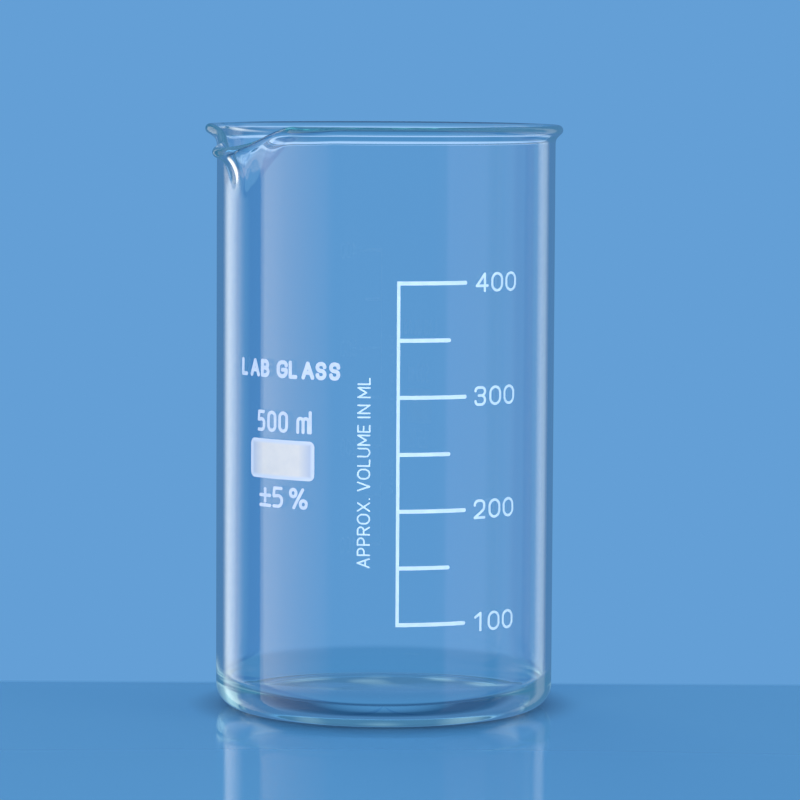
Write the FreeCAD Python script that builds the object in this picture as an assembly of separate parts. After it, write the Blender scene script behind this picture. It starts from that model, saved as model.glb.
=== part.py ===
import FreeCAD, Part
import math
import os

from FreeCAD import Matrix, Vector

os.makedirs("parts", exist_ok=True)

# A 500 ml tall-form laboratory beaker: one blown borosilicate vessel with a pouring spout, and
# the white enamel printed and fired on its outside. Millimetres, +Z up. The origin is the
# centre of the standing ring on the bench, the print faces -Y, and the spout points left.

# ---- Driving dimensions: vessel -----------------------------------------------------------
outer_diameter = 77.0
height = 133.0
wall = 1.7
base_thickness = 2.5
floor_rise = 0.5              # the inside floor is this much higher in the middle
underside_rise = 0.9          # the underside is hollow by this much inside the standing ring
outer_corner_radius = 5.1
inner_corner_radius = 6.3
standing_ring_width = 2.0

bead_radius = 1.15            # the fire-polished rim is a round bead
flare_reach = 1.7             # how far the bead stands out past the outside wall
flare_height = 5.7            # the stretch of wall that turns out into the rim

# ---- Driving dimensions: spout ------------------------------------------------------------
spout_angle = 210.0           # degrees round +Z from +X
spout_reach = 3.9             # the tip, past the plain rim
spout_half_angle = 12.0
spout_drop = 5.0              # the tip's bead, below the plain rim
spout_drop_half_angle = 30.0
spout_depth = 11.0            # how much lower the wall starts to turn out under the tip
pinch_clearance = 0.1         # beside the tip the bead is squeezed in to this far outside the bore
pinch_angle = 18.0
pinch_half_angle = 12.0
ear = 1.1                     # beyond the pinch the rim swells out before it runs plain again
ear_angle = 33.0
ear_half_angle = 14.0
steepest_flare = 65.0         # degrees from upright
section_step = 1.5            # degrees between the sections that shape the spout
plain_step = 6.0              # and round the rest of the rim

# ---- Driving dimensions: enamel print -----------------------------------------------------
enamel_thickness = 0.05
plate_depth = 6.0             # flat shapes this deep are cut with the wall's skin
line_thickness = 0.88
spine_width = 0.73
spine_angle = 4.3             # degrees from the front, positive to the right
lowest_mark_height = 23.5
mark_pitch = 12.57
mark_volumes = [100, 150, 200, 250, 300, 350, 400]
labelled_step = 100
long_mark_angle = 27.8        # where the long marks end
short_mark_angle = 22.0
numeral_gap = 0.45            # from the end of a long mark to its numeral
numeral_height = 4.35
numeral_stroke = 0.58
numeral_widening = 1.32

caption_text = "APPROX. VOLUME IN ML"
caption_gap = 6.05            # from the spine to the caption's baseline
caption_height = 2.95
caption_stroke = 0.36
caption_length = 42.1
caption_bottom = 36.1

label_angle = -37.2           # the middle of the left-hand labels and panel
capacity_text = "500 ml"
capacity_height = 4.75
capacity_stroke = 0.74
capacity_length = 15.9
capacity_bottom = 65.3
maker_text = "LAB GLASS"
maker_height = 4.0
maker_stroke = 0.88
maker_length = 27.5
maker_bottom = 77.4
accuracy_text = "±5%"
accuracy_angle = -39.4
accuracy_height = 4.75
accuracy_stroke = 0.74
accuracy_length = 13.0
accuracy_bottom = 48.5
panel_width = 17.9
panel_height = 8.8
panel_bottom = 54.9
panel_corner_radius = 1.3

# ---- Sizes that follow --------------------------------------------------------------------
outer_radius = outer_diameter / 2
inner_radius = outer_radius - wall
wall_middle = outer_radius - wall / 2
rim_radius = outer_radius + flare_reach - bead_radius
pinch = rim_radius - (inner_radius + bead_radius + pinch_clearance)
spout_sector = ear_angle + ear_half_angle + 1.0
joint_height = height - flare_height - spout_depth - 1.0


def point(radius, z):
    return Vector(radius, 0, z)


def polygon_line(a, b):
    return Part.LineSegment(a, b).toShape()


def cubic(a, b, c, d):
    curve = Part.BezierCurve()
    curve.setPoles([a, b, c, d])
    return curve.toShape()


# ---- Vessel: base and straight wall -------------------------------------------------------
def lower_profile():
    """The right half of the base and wall, from the axis out, up to joint_height."""
    ring_outer = outer_radius - outer_corner_radius
    ring_inner = ring_outer - standing_ring_width
    corner = math.sqrt(0.5)
    hollow_middle = (ring_inner ** 2 + underside_rise ** 2) / (2 * underside_rise)
    half_way = ring_inner / 2
    half_height = underside_rise - hollow_middle + math.sqrt(hollow_middle ** 2 - half_way ** 2)

    # The floor is a shallow dome that the inside corner's arc meets smoothly.
    floor_radius = inner_radius - inner_corner_radius
    dome = (floor_radius ** 2 + floor_rise ** 2) / (2 * floor_rise)
    dome_centre = base_thickness + floor_rise - dome
    corner_reach = dome + inner_corner_radius
    corner_z = dome_centre + math.sqrt(corner_reach ** 2 - floor_radius ** 2)
    lean = math.asin(floor_radius / corner_reach)
    meet = point(dome * math.sin(lean), dome_centre + dome * math.cos(lean))
    dome_half = point(dome * math.sin(lean / 2), dome_centre + dome * math.cos(lean / 2))
    turn = (math.pi / 2 - lean) / 2
    corner_half = point(
        floor_radius + inner_corner_radius * math.cos(turn),
        corner_z - inner_corner_radius * math.sin(turn),
    )
    edges = [
        Part.Arc(point(0, underside_rise), point(half_way, half_height),
                 point(ring_inner, 0)).toShape(),
        polygon_line(point(ring_inner, 0), point(ring_outer, 0)),
        Part.Arc(point(ring_outer, 0),
                 point(ring_outer + outer_corner_radius * corner, outer_corner_radius * (1 - corner)),
                 point(outer_radius, outer_corner_radius)).toShape(),
        polygon_line(point(outer_radius, outer_corner_radius), point(outer_radius, joint_height)),
        polygon_line(point(outer_radius, joint_height), point(inner_radius, joint_height)),
        polygon_line(point(inner_radius, joint_height), point(inner_radius, corner_z)),
        Part.Arc(point(inner_radius, corner_z), corner_half, meet).toShape(),
        Part.Arc(meet, dome_half, point(0, base_thickness + floor_rise)).toShape(),
        polygon_line(point(0, base_thickness + floor_rise), point(0, underside_rise)),
    ]
    return Part.Wire(edges)


# ---- Vessel: rim and spout ----------------------------------------------------------------
def swell(angle, middle, half_angle):
    """1 at middle, falling smoothly to 0 at half_angle on each side."""
    away = abs(angle - middle)
    if away >= half_angle:
        return 0.0
    return 0.5 + 0.5 * math.cos(math.pi * away / half_angle)


def rim_section(angle):
    """The wall above joint_height, cut at this many degrees from the spout's middle."""
    side = abs(angle)
    bead_r = rim_radius
    bead_r += spout_reach * swell(side, 0, spout_half_angle)
    bead_r -= pinch * swell(side, pinch_angle, pinch_half_angle)
    bead_r += ear * swell(side, ear_angle, ear_half_angle)
    drop = swell(side, 0, spout_drop_half_angle)
    bead_z = height - bead_radius - spout_drop * drop
    start_z = height - flare_height - spout_depth * drop
    flare = math.radians(steepest_flare) * (1 - math.exp(-(bead_r - wall_middle)))
    along = Vector(math.sin(flare), 0, math.cos(flare))
    across = Vector(math.cos(flare), 0, -math.sin(flare))

    bead = point(bead_r, bead_z)
    outer_end = bead + across * bead_radius
    inner_end = bead - across * bead_radius
    outer_start = point(outer_radius, start_z)
    inner_start = point(inner_radius, start_z)
    rise = Vector(0, 0, 0.5 * (bead_z - start_z))
    # The inside never turns in past the bore on its way up to the bead.
    reach = 0.4 * (bead - point(wall_middle, start_z)).Length
    back = along * min(reach, (inner_end.x - inner_radius) / along.x)
    edges = [
        polygon_line(point(inner_radius, joint_height), point(outer_radius, joint_height)),
        polygon_line(point(outer_radius, joint_height), outer_start),
        cubic(outer_start, outer_start + rise, outer_end - back, outer_end),
        Part.Arc(outer_end, bead + along * bead_radius, inner_end).toShape(),
        cubic(inner_end, inner_end - back, inner_start + rise, inner_start),
        polygon_line(inner_start, point(inner_radius, joint_height)),
    ]
    return Part.Wire(edges)


def turned(shape, angle):
    copy = shape.copy()
    copy.rotate(Vector(0, 0, 0), Vector(0, 0, 1), angle)
    return copy


def rim_loft(start, end, step):
    """The rim between two angles from the spout's middle, with a section about every step."""
    count = round((end - start) / step)
    angles = [start + (end - start) * i / count for i in range(count + 1)]
    sections = [turned(rim_section(angle), spout_angle + angle) for angle in angles]
    return Part.makeLoft(sections, True, False)


def make_vessel():
    body = Part.Face(lower_profile()).revolve(Vector(0, 0, 0), Vector(0, 0, 1), 360)
    spout = rim_loft(-spout_sector, spout_sector, section_step)
    plain = rim_loft(spout_sector, 360 - spout_sector, plain_step)
    return body.fuse([spout, plain], 0.001)


# ---- Enamel: marks and panel --------------------------------------------------------------
def band(from_angle, to_angle, bottom, top, thickness=enamel_thickness):
    """A skin on the outside wall between two angles from the front and two heights."""
    inside, outside = outer_radius, outer_radius + thickness
    corners = [point(inside, bottom), point(outside, bottom), point(outside, top), point(inside, top)]
    face = Part.Face(Part.makePolygon(corners + corners[:1]))
    return turned(face, from_angle - 90).revolve(
        Vector(0, 0, 0), Vector(0, 0, 1), to_angle - from_angle
    )


def arc_angle(length):
    """The degrees that a length along the outside wall takes."""
    return math.degrees(length / outer_radius)


def place_on_wall(shape, angle, z, upright=False):
    """Stands a flat shape on the wall: x runs along the print's line and y up its letters."""
    turn = math.radians(angle)
    right = Vector(math.cos(turn), math.sin(turn), 0)
    out = Vector(math.sin(turn), -math.cos(turn), 0)
    up = Vector(0, 0, 1)
    x, y = (up, -right) if upright else (right, up)
    start = out * (outer_radius - plate_depth / 2) + up * z
    copy = shape.copy()
    copy.Placement = FreeCAD.Placement(Matrix(
        x.x, y.x, out.x, start.x,
        x.y, y.y, out.y, start.y,
        x.z, y.z, out.z, start.z,
        0, 0, 0, 1,
    ))
    return copy


def enamel(plate, angle, z, upright=False):
    """The skin that a flat plate leaves on the wall when it is pressed in there."""
    block = place_on_wall(plate, angle, z, upright)
    box = block.BoundBox
    reach = arc_angle(box.DiagonalLength)
    return block.common(band(angle - reach, angle + reach, box.ZMin - 1, box.ZMax + 1))


def thick(face):
    return face.extrude(Vector(0, 0, plate_depth))


def make_spine():
    half = arc_angle(spine_width) / 2
    top = lowest_mark_height + mark_pitch * (len(mark_volumes) - 1)
    return band(spine_angle - half, spine_angle + half,
                lowest_mark_height - line_thickness / 2, top + line_thickness / 2)


def make_mark(z, end_angle):
    """A line from the spine to end_angle, round at its free end."""
    start = spine_angle + arc_angle(spine_width) / 2
    last = end_angle - arc_angle(line_thickness / 2)
    line = band(start, last, z - line_thickness / 2, z + line_thickness / 2)
    dot = Part.Face(Part.Wire(Part.makeCircle(line_thickness / 2)))
    return line.fuse(enamel(thick(dot), last, z)).removeSplitter()


def make_panel():
    """A block with round corners to write on."""
    half, r = panel_width / 2, panel_corner_radius
    outline = [(-half, 0, r), (half, 0, r), (half, panel_height, r), (-half, panel_height, r)]
    return enamel(thick(Part.Face(rounded_path(outline, True))), label_angle, panel_bottom)


# ---- Enamel: lettering --------------------------------------------------------------------
# Each glyph is its width and its strokes, for capitals 1 high. A stroke is a list of points
# (x, y, corner radius) on the middle of the line, with x from 0 to 1 across the glyph, and
# the radius as a share of the largest that fits. A stroke marked True is closed.
round_box = [(0, 0, 1), (1, 0, 1), (1, 1, 1), (0, 1, 1)]
stem = [(0, 0, 0), (0, 1, 0)]
glyphs = {
    "0": (0.6, [(True, round_box)]),
    "1": (0.54, [(False, [(0.14, 0.78, 0), (0.68, 1, 0), (0.68, 0, 0)])]),
    "2": (0.54, [(False, [(0, 0.74, 0), (0, 1, 1), (1, 1, 1), (1, 0.5, 0.6), (0, 0, 0), (1, 0, 0)])]),
    "3": (0.54, [(False, [(0, 0.8, 0), (0, 1, 1), (1, 1, 1), (1, 0.53, 1), (0.35, 0.53, 0)]),
                 (False, [(0.35, 0.53, 0), (1, 0.53, 1), (1, 0, 1), (0, 0, 1), (0, 0.2, 0)])]),
    "4": (0.6, [(False, [(0.74, 0, 0), (0.74, 1, 0)]),
                (False, [(0.74, 1, 0), (0, 0.3, 0), (1, 0.3, 0)])]),
    "5": (0.54, [(False, [(0.94, 1, 0), (0.08, 1, 0), (0, 0.56, 0), (1, 0.62, 1), (1, 0, 1),
                          (0, 0, 0)])]),
    "A": (0.66, [(False, [(0, 0, 0), (0.5, 1, 0), (1, 0, 0)]),
                 (False, [(0.17, 0.34, 0), (0.83, 0.34, 0)])]),
    "B": (0.56, [(False, stem), (False, [(0, 0.53, 0), (1, 0.53, 1), (1, 0, 1), (0, 0, 0)]),
                 (False, [(0, 1, 0), (0.93, 1, 1), (0.93, 0.53, 1), (0, 0.53, 0)])]),
    "E": (0.5, [(False, [(1, 1, 0), (0, 1, 0), (0, 0, 0), (1, 0, 0)]),
                (False, [(0, 0.52, 0), (0.88, 0.52, 0)])]),
    "G": (0.64, [(False, [(1, 0.78, 0), (1, 1, 1), (0, 1, 1), (0, 0, 1), (1, 0, 1), (1, 0.47, 0),
                          (0.55, 0.47, 0)])]),
    "I": (0.16, [(False, [(0.5, 0, 0), (0.5, 1, 0)])]),
    "L": (0.48, [(False, [(0, 1, 0), (0, 0, 0), (1, 0, 0)])]),
    "M": (0.72, [(False, [(0, 0, 0), (0, 1, 0), (0.5, 0.3, 0), (1, 1, 0), (1, 0, 0)])]),
    "N": (0.62, [(False, [(0, 0, 0), (0, 1, 0), (1, 0, 0), (1, 1, 0)])]),
    "O": (0.7, [(True, round_box)]),
    "P": (0.54, [(False, stem), (False, [(0, 1, 0), (1, 1, 1), (1, 0.45, 1), (0, 0.45, 0)])]),
    "R": (0.58, [(False, stem), (False, [(0, 1, 0), (1, 1, 1), (1, 0.48, 1), (0, 0.48, 0)]),
                 (False, [(0.5, 0.48, 0), (1, 0, 0)])]),
    "S": (0.54, [(False, [(1, 0.78, 0), (1, 1, 1), (0, 1, 1), (0, 0.52, 1), (1, 0.52, 1),
                          (1, 0, 1), (0, 0, 1), (0, 0.22, 0)])]),
    "U": (0.62, [(False, [(0, 1, 0), (0, 0, 1), (1, 0, 1), (1, 1, 0)])]),
    "V": (0.64, [(False, [(0, 1, 0), (0.5, 0, 0), (1, 1, 0)])]),
    "X": (0.62, [(False, [(0, 0, 0), (1, 1, 0)]), (False, [(0, 1, 0), (1, 0, 0)])]),
    "m": (0.78, [(False, [(0, 0, 0), (0, 0.76, 1), (0.5, 0.76, 1), (0.5, 0, 0)]),
                 (False, [(0.5, 0, 0), (0.5, 0.76, 1), (1, 0.76, 1), (1, 0, 0)])]),
    "l": (0.26, [(False, [(0.6, 0, 0), (0.6, 1.1, 0)])]),
    ".": (0.16, [(False, [(0.5, 0, 0), (0.5, 0.01, 0)])]),
    "±": (0.66, [(False, [(0, 0.56, 0), (1, 0.56, 0)]), (False, [(0.5, 0.22, 0), (0.5, 0.9, 0)]),
                 (False, [(0, 0, 0), (1, 0, 0)])]),
    "%": (0.86, [(True, [(0, 0.6, 1), (0.36, 0.6, 1), (0.36, 1, 1), (0, 1, 1)]),
                 (True, [(0.64, 0, 1), (1, 0, 1), (1, 0.4, 1), (0.64, 0.4, 1)]),
                 (False, [(0.22, 0, 0), (0.78, 1, 0)])]),
}
letter_gap = 0.13             # between glyphs, in capital heights
space_width = 0.15


def rounded_path(points, closed):
    """A flat wire through (x, y, radius) corners, each turned by an arc of that radius."""
    corners = [Vector(x, y, 0) for x, y, _ in points]
    count = len(points)
    starts, ends, edges = list(corners), list(corners), []
    for i, (_, _, radius) in enumerate(points):
        if radius == 0 or (not closed and i in (0, count - 1)):
            continue
        before = (corners[i - 1] - corners[i]).normalize()
        after = (corners[(i + 1) % count] - corners[i]).normalize()
        half = before.getAngle(after) / 2
        cut = radius / math.tan(half)
        starts[i] = corners[i] + before * cut
        ends[i] = corners[i] + after * cut
        middle = corners[i] + (before + after).normalize() * (radius / math.sin(half) - radius)
        edges.append(Part.Arc(starts[i], middle, ends[i]).toShape())
    for i in range(count if closed else count - 1):
        there = starts[(i + 1) % count]
        if (there - ends[i]).Length > 1e-6:
            edges.append(Part.LineSegment(ends[i], there).toShape())
    return Part.Wire(Part.__sortEdges__(edges))


def scaled_stroke(points, closed, width, tall, stroke):
    """Glyph points in millimetres, each radius as the share asked for of the largest that fits."""
    across, up = width - stroke, tall - stroke
    places = [Vector(stroke / 2 + x * across, stroke / 2 + y * up, 0) for x, y, _ in points]
    count = len(points)
    sized = []
    for i, (_, _, share) in enumerate(points):
        here, before, after = places[i], places[i - 1], places[(i + 1) % count]
        radius = 0
        if share and (closed or 0 < i < count - 1):
            room = []
            for j, other in ((i - 1, before), ((i + 1) % count, after)):
                shared = points[j][2] > 0 and (closed or 0 < j < count - 1)
                room.append((other - here).Length * (0.5 if shared else 1.0))
            half = (before - here).getAngle(after - here) / 2
            radius = share * min(min(room) * 0.999, across / 2, up / 2) * math.tan(half)
        sized.append((here.x, here.y, radius))
    return sized


def stroke_face(points, closed, stroke):
    """A line of even thickness with round ends along a path."""
    if closed:
        path = rounded_path(points, True)
        rim = Part.Face(path.makeOffset2D(stroke / 2))
        return rim.cut(Part.Face(path.makeOffset2D(-stroke / 2)))
    if len(points) == 2:
        a, b = (Vector(x, y, 0) for x, y, _ in points)
        along = (b - a).normalize() * (stroke / 2)
        side = Vector(-along.y, along.x, 0)
        return Part.Face(Part.Wire([
            Part.LineSegment(a + side, b + side).toShape(),
            Part.Arc(b + side, b + along, b - side).toShape(),
            Part.LineSegment(b - side, a - side).toShape(),
            Part.Arc(a - side, a - along, a + side).toShape(),
        ]))
    return Part.Face(rounded_path(points, False).makeOffset2D(stroke / 2))


def glyph_solid(letter, tall, stroke, widening):
    """A letter as a flat plate, its left edge and baseline on the axes."""
    width, strokes = glyphs[letter]
    plates = []
    for closed, points in strokes:
        sized = scaled_stroke(points, closed, width * tall * widening, tall, stroke)
        plates.append(thick(stroke_face(sized, closed, stroke)))
    plate = plates[0] if len(plates) == 1 else plates[0].fuse(plates[1:])
    return plate.removeSplitter()


def text_width(text, tall):
    """How long a line of text is before it is stretched to its length."""
    shares = [space_width if letter == " " else glyphs[letter][0] for letter in text]
    return tall * (sum(shares) + letter_gap * (len(text) - 1))


def make_text(text, tall, stroke, widening, start_angle, z, upright=False):
    """Enamel letters from start_angle rightwards on the line z, or upwards from z if upright."""
    along = 0
    letters = []
    for letter in text:
        if letter == " ":
            along += (space_width + letter_gap) * tall * widening
            continue
        width = glyphs[letter][0] * tall * widening
        plate = glyph_solid(letter, tall, stroke, widening)
        if upright:
            letters.append(enamel(plate, start_angle, z + along, True))
        else:
            plate.translate(Vector(-width / 2, 0, 0))
            letters.append(enamel(plate, start_angle + arc_angle(along + width / 2), z))
        along += width + letter_gap * tall * widening
    return Part.makeCompound([solid for letter in letters for solid in letter.Solids])


def make_label(text, tall, stroke, length, z, middle=label_angle):
    """A line of the left-hand labels, stretched to its length and centred on an angle."""
    widening = length / text_width(text, tall)
    return make_text(text, tall, stroke, widening, middle - arc_angle(length) / 2, z)


def make_numeral(text, z):
    start = long_mark_angle + arc_angle(numeral_gap)
    bottom = z - numeral_height / 2
    return make_text(text, numeral_height, numeral_stroke, numeral_widening, start, bottom)


def make_caption():
    widening = caption_length / text_width(caption_text, caption_height)
    baseline = spine_angle - arc_angle(caption_gap)
    return make_text(caption_text, caption_height, caption_stroke, widening, baseline,
                     caption_bottom, True)


# ---- The parts ----------------------------------------------------------------------------
def save(name, shape):
    shape.exportStep("parts/" + name + ".step")


save("glass_vessel", make_vessel())
save("scale_spine", make_spine())
for i, volume in enumerate(mark_volumes):
    mark_z = lowest_mark_height + i * mark_pitch
    labelled = volume % labelled_step == 0
    save(f"mark_{volume}", make_mark(mark_z, long_mark_angle if labelled else short_mark_angle))
    if labelled:
        save(f"numeral_{volume}", make_numeral(str(volume), mark_z))
save("scale_caption", make_caption())
save("lab_glass_label", make_label(maker_text, maker_height, maker_stroke, maker_length, maker_bottom))
save("capacity_label", make_label(capacity_text, capacity_height, capacity_stroke,
                                  capacity_length, capacity_bottom))
save("accuracy_label", make_label(accuracy_text, accuracy_height, accuracy_stroke,
                                  accuracy_length, accuracy_bottom, accuracy_angle))
save("writing_panel", make_panel())
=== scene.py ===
import math

import bpy
from mathutils import Matrix, Vector, noise


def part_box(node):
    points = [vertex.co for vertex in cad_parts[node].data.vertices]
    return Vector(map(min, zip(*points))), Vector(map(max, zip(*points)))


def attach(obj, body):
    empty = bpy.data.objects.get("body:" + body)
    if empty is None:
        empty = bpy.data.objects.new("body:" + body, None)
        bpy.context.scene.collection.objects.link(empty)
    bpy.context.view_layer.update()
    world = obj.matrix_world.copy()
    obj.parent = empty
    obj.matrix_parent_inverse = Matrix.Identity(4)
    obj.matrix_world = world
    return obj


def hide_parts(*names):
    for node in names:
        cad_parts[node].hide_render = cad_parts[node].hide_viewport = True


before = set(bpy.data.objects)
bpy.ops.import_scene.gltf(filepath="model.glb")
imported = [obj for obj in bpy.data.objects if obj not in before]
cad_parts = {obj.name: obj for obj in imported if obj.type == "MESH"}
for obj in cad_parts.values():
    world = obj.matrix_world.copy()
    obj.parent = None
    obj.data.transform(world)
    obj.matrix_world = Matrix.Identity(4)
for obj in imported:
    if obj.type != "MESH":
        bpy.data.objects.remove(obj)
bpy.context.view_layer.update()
bpy.ops.object.select_all(action="DESELECT")

# ---- Glass vessel -------------------------------------------------------------------------
# One piece of clear borosilicate glass, blown into a mould and turned while hot. The rim is
# melted back to a round bead, and the spout is pulled out of it with a tool, which pinches the
# rim on both sides. The floor keeps faint ripples from the melt.
MM = 0.001
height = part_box("glass_vessel")[1].z
outer_radius = 38.5 * MM
wall = 1.7 * MM
inner_radius = outer_radius - wall
wall_middle = outer_radius - wall / 2
floor_height = 3.0 * MM
floor_rise = 0.5 * MM
underside_rise = 0.9 * MM
outer_corner = 5.1 * MM
inner_corner = 6.3 * MM
standing_ring = 2.0 * MM
bead_radius = 1.15 * MM
rim_radius = outer_radius + 1.7 * MM - bead_radius
flare_height = 5.7 * MM
joint_height = 115.3 * MM     # the wall is straight up to here
spout_angle = 210             # degrees round +Z from +X
spout_sector = 48             # the spout shapes the rim this far to each side
spout_reach, spout_half_angle = 3.9 * MM, 12
spout_drop, drop_half_angle = 5.0 * MM, 30
spout_depth = 11.0 * MM
pinch_angle, pinch_half_angle = 18, 12
pinch_clearance = 0.1 * MM
ear, ear_angle, ear_half_angle = 1.09 * MM, 33, 14
steepest_flare = 65
sectors = 360
weld = 0.002 * MM
enamel_grip = 0.015 * MM      # the print is fired this far into the glass
ripple_depth = 0.035 * MM
ripple_size = 11 * MM
wall_wave = 0.009 * MM
wave_size = 14 * MM


def swell(angle, middle, half_angle):
    away = abs(angle - middle)
    if away >= half_angle:
        return 0.0
    return 0.5 + 0.5 * math.cos(math.pi * away / half_angle)


def arc(middle, radius, start, end, count):
    """Points on an arc, from one angle in degrees to another, without the first."""
    turns = [math.radians(start + (end - start) * i / count) for i in range(1, count + 1)]
    return [middle + radius * Vector((math.cos(turn), math.sin(turn))) for turn in turns]


def cubic(a, b, c, d, count):
    """Points along a cubic curve, without the first."""
    shares = [i / count for i in range(1, count + 1)]
    return [a * (1 - s) ** 3 + 3 * b * s * (1 - s) ** 2 + 3 * c * s * s * (1 - s) + d * s ** 3
            for s in shares]


def straight(a, b, count):
    return [a.lerp(b, i / count) for i in range(1, count + 1)]


def rim_line(angle):
    """The skin of the rim from the outside at joint_height over the bead to the inside."""
    side = abs(angle)
    pinch = rim_radius - inner_radius - bead_radius - pinch_clearance
    bead_r = rim_radius + spout_reach * swell(side, 0, spout_half_angle)
    bead_r += ear * swell(side, ear_angle, ear_half_angle)
    bead_r -= pinch * swell(side, pinch_angle, pinch_half_angle)
    drop = swell(side, 0, drop_half_angle)
    bead = Vector((bead_r, height - bead_radius - spout_drop * drop))
    start_z = height - flare_height - spout_depth * drop
    flare = math.radians(steepest_flare) * (1 - math.exp(-(bead_r - wall_middle) / MM))
    along = Vector((math.sin(flare), math.cos(flare)))
    across = Vector((math.cos(flare), -math.sin(flare)))
    outer_end = bead + across * bead_radius
    inner_end = bead - across * bead_radius
    outer_start = Vector((outer_radius, start_z))
    inner_start = Vector((inner_radius, start_z))
    rise = Vector((0, 0.5 * (bead.y - start_z)))
    reach = 0.4 * (bead - Vector((wall_middle, start_z))).length
    back = along * min(reach, (inner_end.x - inner_radius) / along.x)
    turn = math.degrees(flare)
    line = [Vector((outer_radius, joint_height))]
    line += straight(line[-1], outer_start, 4)
    line += cubic(outer_start, outer_start + rise, outer_end - back, outer_end, 16)
    line += arc(bead, bead_radius, -turn, 180 - turn, 16)
    line += cubic(inner_end, inner_end - back, inner_start + rise, inner_start, 16)
    line += straight(inner_start, Vector((inner_radius, joint_height)), 4)
    return line


# The underside is a shallow hollow inside the standing ring, and the floor a shallow dome.
ring_outer = outer_radius - outer_corner
ring_inner = ring_outer - standing_ring
hollow = (ring_inner ** 2 + underside_rise ** 2) / (2 * underside_rise)
dome_reach = inner_radius - inner_corner
dome = (dome_reach ** 2 + floor_rise ** 2) / (2 * floor_rise)
lean = math.asin(dome_reach / (dome + inner_corner))
corner_height = floor_height - dome + math.sqrt((dome + inner_corner) ** 2 - dome_reach ** 2)
floor_edge = dome * math.sin(lean)

skin = []
for i in range(13):
    r = ring_inner * i / 12
    skin.append(Vector((r, underside_rise - hollow + math.sqrt(hollow ** 2 - r * r))))
skin += straight(skin[-1], Vector((ring_outer, 0)), 2)
skin += arc(Vector((ring_outer, outer_corner)), outer_corner, -90, 0, 14)
skin += straight(skin[-1], Vector((outer_radius, joint_height)), 26)
plain_rim = rim_line(spout_sector)
skin += plain_rim[1:]
skin += straight(skin[-1], Vector((inner_radius, corner_height)), 26)
skin += arc(Vector((dome_reach, corner_height)), inner_corner, 0, -90 - math.degrees(lean), 16)
for i in range(1, 25):
    r = floor_edge * (1 - i / 24)
    skin.append(Vector((r, floor_height - dome + math.sqrt(dome * dome - r * r))))

bpy.ops.mesh.primitive_circle_add(vertices=3, radius=wall)
vessel = bpy.context.object
vessel.name = "vessel_glass"
bpy.ops.object.mode_set(mode="EDIT")
bpy.ops.mesh.select_all(action="SELECT")
bpy.ops.mesh.merge(type="CENTER")
bpy.ops.transform.translate(value=(skin[0].x, 0, skin[0].y))
for before, after in zip(skin, skin[1:]):
    step = after - before
    bpy.ops.mesh.extrude_vertices_move(TRANSFORM_OT_translate={"value": (step.x, 0, step.y)})
bpy.ops.mesh.select_all(action="SELECT")
bpy.ops.mesh.spin(steps=sectors, angle=math.tau, center=(0, 0, 0), axis=(0, 0, 1))
bpy.ops.mesh.select_all(action="SELECT")
bpy.ops.mesh.remove_doubles(threshold=weld)
bpy.ops.mesh.normals_make_consistent(inside=False)
bpy.ops.object.mode_set(mode="OBJECT")

# The spout is pulled: each point of the plain rim goes to its own place in that part's section.
for vertex in vessel.data.vertices:
    x, y, z = vertex.co
    radius = math.hypot(x, y)
    away = (math.degrees(math.atan2(y, x)) - spout_angle + 180) % 360 - 180
    if z > joint_height + weld and abs(away) < spout_sector:
        here = Vector((radius, z))
        station = min(range(len(plain_rim)), key=lambda i: (plain_rim[i] - here).length_squared)
        radius, z = rim_line(away)[station]
    elif z < corner_height and radius < floor_edge:
        layer = 0 if z > underside_rise else 9 * MM
        z += ripple_depth * noise.noise(Vector((x, y, layer)) / ripple_size)
    elif corner_height < z <= joint_height:
        outside = radius > wall_middle
        layer = z / 4 if outside else 50 * MM + z / 4
        wave = noise.noise(Vector((x, y, layer)) / wave_size)
        radius += wall_wave * wave + (enamel_grip if outside else 0)
    turn = math.atan2(y, x)
    vertex.co = (radius * math.cos(turn), radius * math.sin(turn), z)
bpy.ops.object.shade_smooth_by_angle(angle=math.radians(40))


def linear(colour):
    """A colour written as sRGB hex, as the shaders want it."""
    parts = [int(colour[i:i + 2], 16) / 255 for i in (1, 3, 5)]
    return tuple(p / 12.92 if p <= 0.04045 else ((p + 0.055) / 1.055) ** 2.4 for p in parts) + (1,)


def add(tree, kind, values={}, **settings):
    """Adds a node, sets it up, and sets or links its sockets."""
    made = tree.nodes.new("ShaderNode" + kind)
    for name, setting in settings.items():
        setattr(made, name, setting)
    for name, value in values.items():
        if isinstance(value, bpy.types.NodeSocket):
            tree.links.new(value, made.inputs[name])
        else:
            made.inputs[name].default_value = value
    return made


# Blown borosilicate: perfectly smooth and clear, a little green-blue where it is thick, with
# faint upright streaks where the melt was drawn.
ream_size = 9 * MM
ream_depth = 0.004 * MM
highlight_patch_size = 15 * MM
glass = bpy.data.materials.new("clear_borosilicate")
glass.use_nodes = True
tree = glass.node_tree
tree.nodes.clear()
place = add(tree, "TexCoord").outputs["Object"]
drawn = add(tree, "Mapping", {"Vector": place, "Scale": (1, 1, 0.12)}).outputs["Vector"]
ream = add(tree, "TexNoise", {"Vector": drawn, "Scale": 1 / ream_size, "Detail": 2})
relief = add(tree, "Bump", {
    "Height": ream.outputs["Fac"], "Strength": 0.35, "Distance": ream_depth,
})
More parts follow.
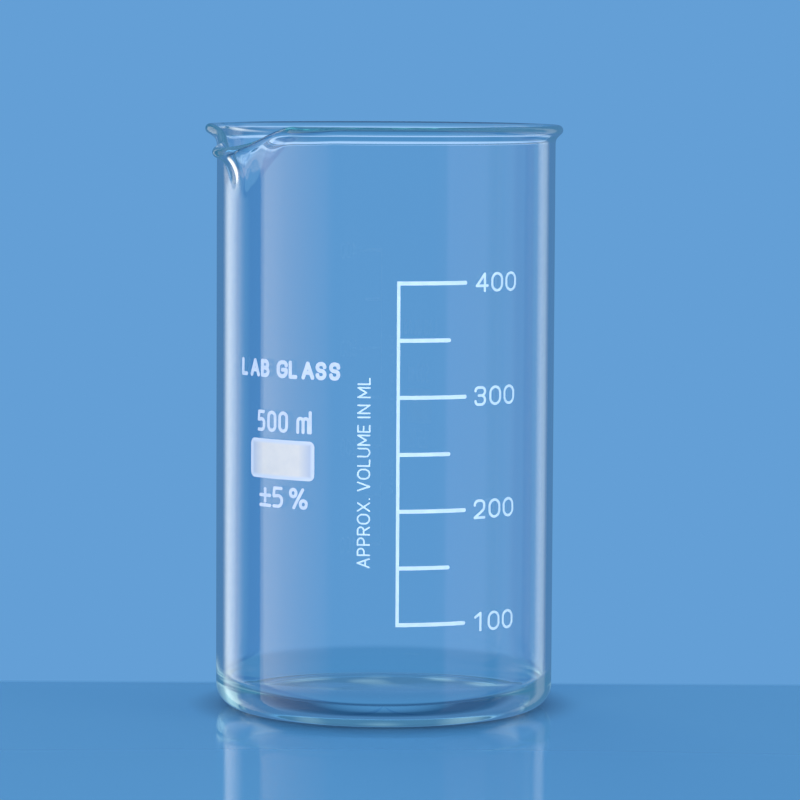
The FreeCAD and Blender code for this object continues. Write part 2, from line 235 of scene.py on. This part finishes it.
# Painted glow: deep inner bounces glow teal, with painted highlights in pale patches round the
# base.
path = add(tree, "LightPath")
painted_glow_on = add(tree, "Math", {0: path.outputs["Glossy Depth"], 1: 3.5}, operation="GREATER_THAN")
moved = add(tree, "Mapping", {"Vector": place, "Location": (4 * MM, 0, 0), "Scale": (1, 1, 0)})
highlight_patch_noise = add(tree, "TexNoise", {
    "Vector": moved.outputs["Vector"], "Scale": 1 / highlight_patch_size, "Detail": 0,
})
rise = add(tree, "SeparateXYZ", {"Vector": place})
low = add(tree, "MapRange", {
    "Value": rise.outputs["Z"], "From Min": 6 * MM, "From Max": 11 * MM,
    "To Min": 1.0, "To Max": 0.0,
})
painted_highlight_patches = add(tree, "MapRange", {"Value": highlight_patch_noise.outputs["Fac"], "From Min": 0.48, "From Max": 0.64})
painted_highlight_patches = add(tree, "Math", {
    0: painted_highlight_patches.outputs["Result"], 1: low.outputs["Result"],
}, operation="MULTIPLY")
flat = add(tree, "Mapping", {"Vector": place, "Scale": (1, 1, 0)})
middle = add(tree, "VectorMath", {0: flat.outputs["Vector"]}, operation="LENGTH")
outer = add(tree, "MapRange", {
    "Value": middle.outputs["Value"], "From Min": 24 * MM, "From Max": 32 * MM, "To Min": 0.3,
})
painted_highlight_patches = add(tree, "Math", {0: painted_highlight_patches.outputs[0], 1: outer.outputs["Result"]}, operation="MULTIPLY")
# The painted glow's colour: dark teal, with the pale painted highlight patches mixed in.
painted_glow_colour = add(tree, "Mix", {"Factor": painted_highlight_patches.outputs[0]}, data_type="RGBA")
painted_glow_colour.inputs[6].default_value = linear("#3B5F7C")
painted_glow_colour.inputs[7].default_value = linear("#9DB5BD")
clear = add(tree, "BsdfPrincipled", {
    "Base Color": linear("#FBFEFF"),
    "Roughness": 0.0,
    "IOR": 1.473,
    "Transmission Weight": 1.0,
    "Normal": relief.outputs["Normal"],
    "Emission Color": painted_glow_colour.outputs[2],
    "Emission Strength": painted_glow_on.outputs[0],
})
let_through = add(tree, "BsdfTransparent", {"Color": linear("#DCE9F2")})
either = add(tree, "MixShader", {
    0: path.outputs["Is Shadow Ray"],
    1: clear.outputs["BSDF"],
    2: let_through.outputs["BSDF"],
})
body_tint = add(tree, "VolumeAbsorption", {"Color": linear("#C9F3F6"), "Density": 30.0})
add(tree, "OutputMaterial", {"Surface": either.outputs[0], "Volume": body_tint.outputs[0]})
vessel.data.materials.append(glass)
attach(vessel, "root")
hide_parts("glass_vessel")

# ---- Enamel scale -------------------------------------------------------------------------
# The volume scale: a spine, seven marks, four numerals and a small caption. White enamel paste
# is screen printed on the outside of the wall and fired until it is part of the glass.
cloud_size = 2.4 * MM
grain_size = 0.16 * MM        # the threads of the printing screen
grain_depth = 0.012 * MM


def fired_enamel(name, colour, thin_colour, roughness):
    """White enamel with the fine grain of the printing screen and a faintly uneven coat."""
    made = bpy.data.materials.new(name)
    made.use_nodes = True
    tree = made.node_tree
    paint = tree.nodes["Principled BSDF"]
    place = add(tree, "TexCoord").outputs["Object"]
    cloud = add(tree, "TexNoise", {"Vector": place, "Scale": 1 / cloud_size, "Detail": 3})
    coat = add(tree, "MapRange", {"Value": cloud.outputs["Fac"], "From Min": 0.35, "From Max": 0.7})
    mix = add(tree, "Mix", {"Factor": coat.outputs["Result"]}, data_type="RGBA")
    mix.inputs[6].default_value = linear(thin_colour)
    mix.inputs[7].default_value = linear(colour)
    tree.links.new(mix.outputs[2], paint.inputs["Base Color"])
    grain = add(tree, "TexNoise", {"Vector": place, "Scale": 1 / grain_size, "Detail": 2})
    relief = add(tree, "Bump", {
        "Height": grain.outputs["Fac"], "Strength": 0.5, "Distance": grain_depth,
    })
    tree.links.new(relief.outputs["Normal"], paint.inputs["Normal"])
    paint.inputs["Roughness"].default_value = roughness
    paint.inputs["IOR"].default_value = 1.52
    return made


scale_enamel = fired_enamel("scale_enamel", "#E4F8F9", "#D9F0F4", 0.38)
scale_nodes = ["scale_spine", "scale_caption"]
scale_nodes += ["mark_%d" % volume for volume in range(100, 401, 50)]
scale_nodes += ["numeral_%d" % volume for volume in range(100, 401, 100)]
for name in scale_nodes:
    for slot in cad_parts[name].material_slots:
        slot.material = scale_enamel

# ---- Enamel labels ------------------------------------------------------------------------
# The words and figures left of the scale, in the same enamel but printed a little heavier.
label_enamel = fired_enamel("label_enamel", "#E9EEF4", "#DDE5EE", 0.36)
for name in ["lab_glass_label", "capacity_label", "accuracy_label"]:
    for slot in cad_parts[name].material_slots:
        slot.material = label_enamel

# ---- Writing panel ------------------------------------------------------------------------
# A solid block of enamel with a matt surface that takes pencil. The paste draws towards its
# edge as it dries, so the coat is whiter there. Its two ends get a darker, bluer painted shade.
panel_enamel = fired_enamel("panel_enamel", "#F6ECDD", "#F0E7DA", 0.62)
panel_low, panel_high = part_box("writing_panel")
panel_turn = math.radians(-37.2)      # from the front, negative to the left
panel_half = 17.9 / 2 * MM
panel_edge = 0.5 * MM
panel_middle = (panel_low.z + panel_high.z) / 2
tree = panel_enamel.node_tree
paint = tree.nodes["Principled BSDF"]
place = add(tree, "TexCoord").outputs["Object"]
axes = add(tree, "SeparateXYZ", {"Vector": place})
front = add(tree, "Math", {0: axes.outputs["Y"], 1: -1.0}, operation="MULTIPLY")
turn = add(tree, "Math", {0: axes.outputs["X"], 1: front.outputs[0]}, operation="ARCTAN2")
aside = add(tree, "Math", {0: turn.outputs[0], 1: panel_turn}, operation="SUBTRACT")
aside = add(tree, "Math", {0: aside.outputs[0], 1: outer_radius}, operation="MULTIPLY")
aside = add(tree, "Math", {0: aside.outputs[0]}, operation="ABSOLUTE")
over = add(tree, "Math", {0: axes.outputs["Z"], 1: panel_middle}, operation="SUBTRACT")
over = add(tree, "Math", {0: over.outputs[0]}, operation="ABSOLUTE")
past_end = add(tree, "Math", {0: aside.outputs[0], 1: panel_half}, operation="SUBTRACT")
past_top = add(tree, "Math", {
    0: over.outputs[0], 1: panel_high.z - panel_middle,
}, operation="SUBTRACT")
past = add(tree, "Math", {0: past_end.outputs[0], 1: past_top.outputs[0]}, operation="MAXIMUM")
# Painted shade: darker and bluer towards both ends, where the curved panel turns from the light.
painted_shade_ends_mask = add(tree, "MapRange", {"Value": aside.outputs[0], "From Min": 5 * MM, "From Max": 8.5 * MM})
thick = add(tree, "MapRange", {
    "Value": past.outputs[0], "From Min": -2.2 * panel_edge, "From Max": -panel_edge,
})
shaded_ends = add(tree, "Mix", {"Factor": painted_shade_ends_mask.outputs["Result"]}, data_type="RGBA")
tree.links.new(paint.inputs["Base Color"].links[0].from_socket, shaded_ends.inputs[6])
shaded_ends.inputs[7].default_value = linear("#C3CCD8")
edge = add(tree, "Mix", {"Factor": thick.outputs["Result"]}, data_type="RGBA")
tree.links.new(shaded_ends.outputs[2], edge.inputs[6])
edge.inputs[7].default_value = linear("#E4E8EC")
tree.links.new(edge.outputs[2], paint.inputs["Base Color"])
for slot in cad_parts["writing_panel"].material_slots:
    slot.material = panel_enamel

# ---- Floor --------------------------------------------------------------------------------
# A plain sheet of glossy blue acrylic that the beaker stands on. Its back edge is just behind
# the beaker, and what lies beyond it glows in the backdrop's own colour. Both get a painted
# contact shadow round the beaker's foot.
backdrop = linear("#649FD6")
floor_back = 30.6 * MM
contact_shade = 8 * MM
bpy.ops.object.select_all(action="DESELECT")
bpy.ops.mesh.primitive_plane_add(size=1, location=(0, 0, 0))
floor = bpy.context.object
floor.name = "floor"
floor.dimensions = (12, 12, 0)
bpy.ops.object.transform_apply(location=False, rotation=False, scale=True)
floor.visible_glossy = False
floor.visible_transmission = False
acrylic = bpy.data.materials.new("blue_acrylic")
acrylic.use_nodes = True
tree = acrylic.node_tree
sheet = tree.nodes["Principled BSDF"]
# Painted shade: ambient occlusion darkens the colour near the beaker, a painted contact shadow.
shade = add(tree, "AmbientOcclusion", {
    "Color": linear("#4D83A4"), "Distance": contact_shade,
}, samples=8)
tree.links.new(shade.outputs["Color"], sheet.inputs["Base Color"])
far_shade = add(tree, "AmbientOcclusion", {"Color": backdrop, "Distance": contact_shade}, samples=8)
sheet.inputs["Roughness"].default_value = 0.03
sheet.inputs["IOR"].default_value = 1.49
place = add(tree, "TexCoord").outputs["Object"]
across = add(tree, "SeparateXYZ", {"Vector": place})
beyond = add(tree, "MapRange", {
    "Value": across.outputs["Y"], "From Min": floor_back - 2 * MM, "From Max": floor_back + 2 * MM,
})
far = add(tree, "Emission", {"Color": far_shade.outputs["Color"], "Strength": 1.0})
both = add(tree, "MixShader", {
    0: beyond.outputs["Result"], 1: sheet.outputs["BSDF"], 2: far.outputs["Emission"],
})
tree.links.new(both.outputs[0], tree.nodes["Material Output"].inputs["Surface"])
floor.data.materials.append(acrylic)

# ---- Studio light -------------------------------------------------------------------------
# A blue backdrop all round, and tall soft boxes and strips at both sides and behind, which only
# show as reflections in the glass. White soft boxes light the enamel and the floor.
def set_stops(made, stops):
    """Gives a colour ramp its positions and colours."""
    ramp = made.color_ramp
    while len(ramp.elements) < len(stops):
        ramp.elements.new(1.0)
    for stop, (position, colour) in zip(ramp.elements, stops):
        stop.position = position
        stop.color = colour


world = bpy.data.worlds.new("studio")
bpy.context.scene.world = world
world.use_nodes = True
tree = world.node_tree
tree.nodes.clear()
facing = add(tree, "TexCoord").outputs["Generated"]
axes = add(tree, "SeparateXYZ", {"Vector": facing})
turn = add(tree, "Math", {0: axes.outputs["X"], 1: axes.outputs["Y"]}, operation="ARCTAN2")
share = add(tree, "MapRange", {
    "Value": turn.outputs[0], "From Min": -math.pi, "From Max": math.pi,
})
ramp = add(tree, "ValToRGB", {"Fac": share.outputs["Result"]})
dim = (0.080, 0.215, 0.440)
dark = (0.030, 0.110, 0.260)
brightest = 4.0
studio = [
    (-180, dim), (-145, dim), (-120, (0.78, 0.62, 0.58)), (-100, (1.45, 1.12, 0.95)),
    (-87, (1.65, 1.28, 1.05)), (-86, dark), (-66, dark), (-57, (1.05, 1.05, 1.10)),
    (-52, (1.45, 1.45, 1.50)), (-43, (1.60, 1.60, 1.60)), (-38, (0.60, 0.72, 0.85)), (-34, dim),
    (32, dim), (37, (0.50, 0.62, 0.78)), (48, (0.85, 0.95, 1.10)), (55, dim), (70, dim),
    (80, (0.38, 0.42, 0.60)), (92, (0.34, 0.40, 0.60)), (97, dark), (103, dark),
    (108, (0.28, 0.38, 0.65)), (136, (0.45, 0.52, 0.85)), (139, dim), (180, dim),
]
set_stops(ramp, [((angle + 180) / 360, tuple(c / brightest for c in colour) + (1,))
                 for angle, colour in studio])
rise = add(tree, "MapRange", {"Value": axes.outputs["Z"], "From Min": -1.0, "From Max": 1.0})
cove = add(tree, "ValToRGB", {"Fac": rise.outputs["Result"]})
below, above = linear("#5290C6"), (0.44, 0.70, 1.05, 1)
deep, darkest = linear("#2F6291"), linear("#285480")
set_stops(cove, [
    (0.0, below), (0.05, below), (0.11, deep), (0.26, deep), (0.31, below), (0.38, below),
    (0.42, backdrop), (0.55, backdrop), (0.66, above), (1.0, above),
])
# Narrow dark flags beside the backdrop draw the darker lines inside the wall's edges.
path = add(tree, "LightPath")
flag_range = 12               # degrees to each side of the backdrop's middle
beside = add(tree, "MapRange", {
    "Value": turn.outputs[0],
    "From Min": math.radians(-flag_range), "From Max": math.radians(flag_range),
})
flags = add(tree, "ValToRGB", {"Fac": beside.outputs["Result"]})
free, flag, half_flag = (1, 1, 1, 1), (0.66, 0.77, 0.88, 1), (0.88, 0.91, 0.95, 1)
cards = [
    (-9.7, free), (-9.2, flag), (-8.6, flag), (-8.1, half_flag), (-6.6, half_flag),
    (-5.9, flag), (-4.7, flag), (-4.3, free), (4.6, free), (5.2, half_flag),
    (6.2, half_flag), (6.6, flag), (8.2, flag), (8.8, free),
]
set_stops(flags, [((angle + flag_range) / (2 * flag_range), colour) for angle, colour in cards])
# The glass bends in a dark band from below, and a lit one from just over the backdrop.
bent = add(tree, "ValToRGB", {"Fac": rise.outputs["Result"]})
set_stops(bent, [
    (0.0, below), (0.06, darkest), (0.19, darkest), (0.27, below), (0.38, below),
    (0.42, backdrop), (0.50, backdrop), (0.52, above), (0.57, above), (0.60, below), (1.0, below),
])
carded = add(tree, "Mix", {"Factor": 1.0}, data_type="RGBA", blend_type="MULTIPLY")
tree.links.new(bent.outputs["Color"], carded.inputs[6])
tree.links.new(flags.outputs["Color"], carded.inputs[7])
through = add(tree, "Math", {
    0: path.outputs["Transmission Depth"], 1: 0.5,
}, operation="GREATER_THAN")
around = add(tree, "Mix", {"Factor": through.outputs[0]}, data_type="RGBA")
tree.links.new(cove.outputs["Color"], around.inputs[6])
tree.links.new(carded.outputs[2], around.inputs[7])
plain = add(tree, "Background", {"Color": around.outputs[2], "Strength": 1.0})
mirrored = add(tree, "Math", {0: path.outputs["Glossy Depth"], 1: 0.5}, operation="GREATER_THAN")
steep = add(tree, "Math", {0: axes.outputs["Z"]}, operation="ABSOLUTE")
level = add(tree, "MapRange", {
    "Value": steep.outputs[0], "From Min": 0.45, "From Max": 0.75, "To Min": 1.0, "To Max": 0.0,
})
first = add(tree, "MapRange", {
    "Value": path.outputs["Transmission Depth"], "From Min": 3.0, "From Max": 4.0,
    "To Min": 1.0, "To Max": 0.25,
})
faded = add(tree, "Mix", {"Factor": first.outputs["Result"]}, data_type="RGBA")
faded.inputs[6].default_value = tuple(c / brightest for c in dim) + (1,)
tree.links.new(ramp.outputs["Color"], faded.inputs[7])
boxes = add(tree, "Background", {"Color": faded.outputs[2], "Strength": brightest})
share = add(tree, "Math", {
    0: mirrored.outputs[0], 1: level.outputs["Result"],
}, operation="MULTIPLY")
seen = add(tree, "MixShader", {0: share.outputs[0], 1: plain.outputs[0], 2: boxes.outputs[0]})
add(tree, "OutputWorld", {"Surface": seen.outputs[0]})


def soft_box(name, place, size, power, colour):
    """A soft box that faces the beaker and isn't seen itself."""
    bpy.ops.object.light_add(type="AREA", location=place)
    box = bpy.context.object
    box.name = name
    box.data.shape = "SQUARE"
    box.data.size = size
    box.data.energy = power
    box.data.color = linear(colour)[:3]
    aim = Vector((0, 0, 0.06)) - Vector(place)
    box.rotation_euler = aim.to_track_quat("-Z", "Y").to_euler()
    box.visible_camera = False
    box.visible_glossy = False
    box.visible_transmission = False


soft_box("front_box", (-0.5, -1.5, 1.1), 1.0, 25, "#FFF3F2")
soft_box("right_box", (1.3, -0.7, 0.9), 0.8, 9, "#FFF3F2")
soft_box("top_box", (0, 0.3, 1.8), 1.2, 7, "#FFFFFF")
soft_box("back_box", (-0.6, 1.4, 0.8), 0.8, 14, "#FFF3F2")

# ---- Camera -------------------------------------------------------------------------------
# A long lens just under a metre away, a little above the rim and looking slightly down.
yaw, pitch, roll = -0.206, -4.87, 0.3
bpy.ops.object.camera_add(location=(0, -0.95, 0.151))
camera = bpy.context.object
camera.data.sensor_width = 36
camera.data.lens = 187.6
camera.data.clip_start = 0.01
camera.data.clip_end = 50
aim = Matrix.Rotation(math.radians(yaw), 3, "Z")
aim = aim @ Matrix.Rotation(math.radians(90 + pitch), 3, "X")
aim = aim @ Matrix.Rotation(math.radians(roll), 3, "Z")
camera.rotation_euler = aim.to_euler()
bpy.context.scene.camera = camera
bpy.context.scene.view_settings.view_transform = "Standard"
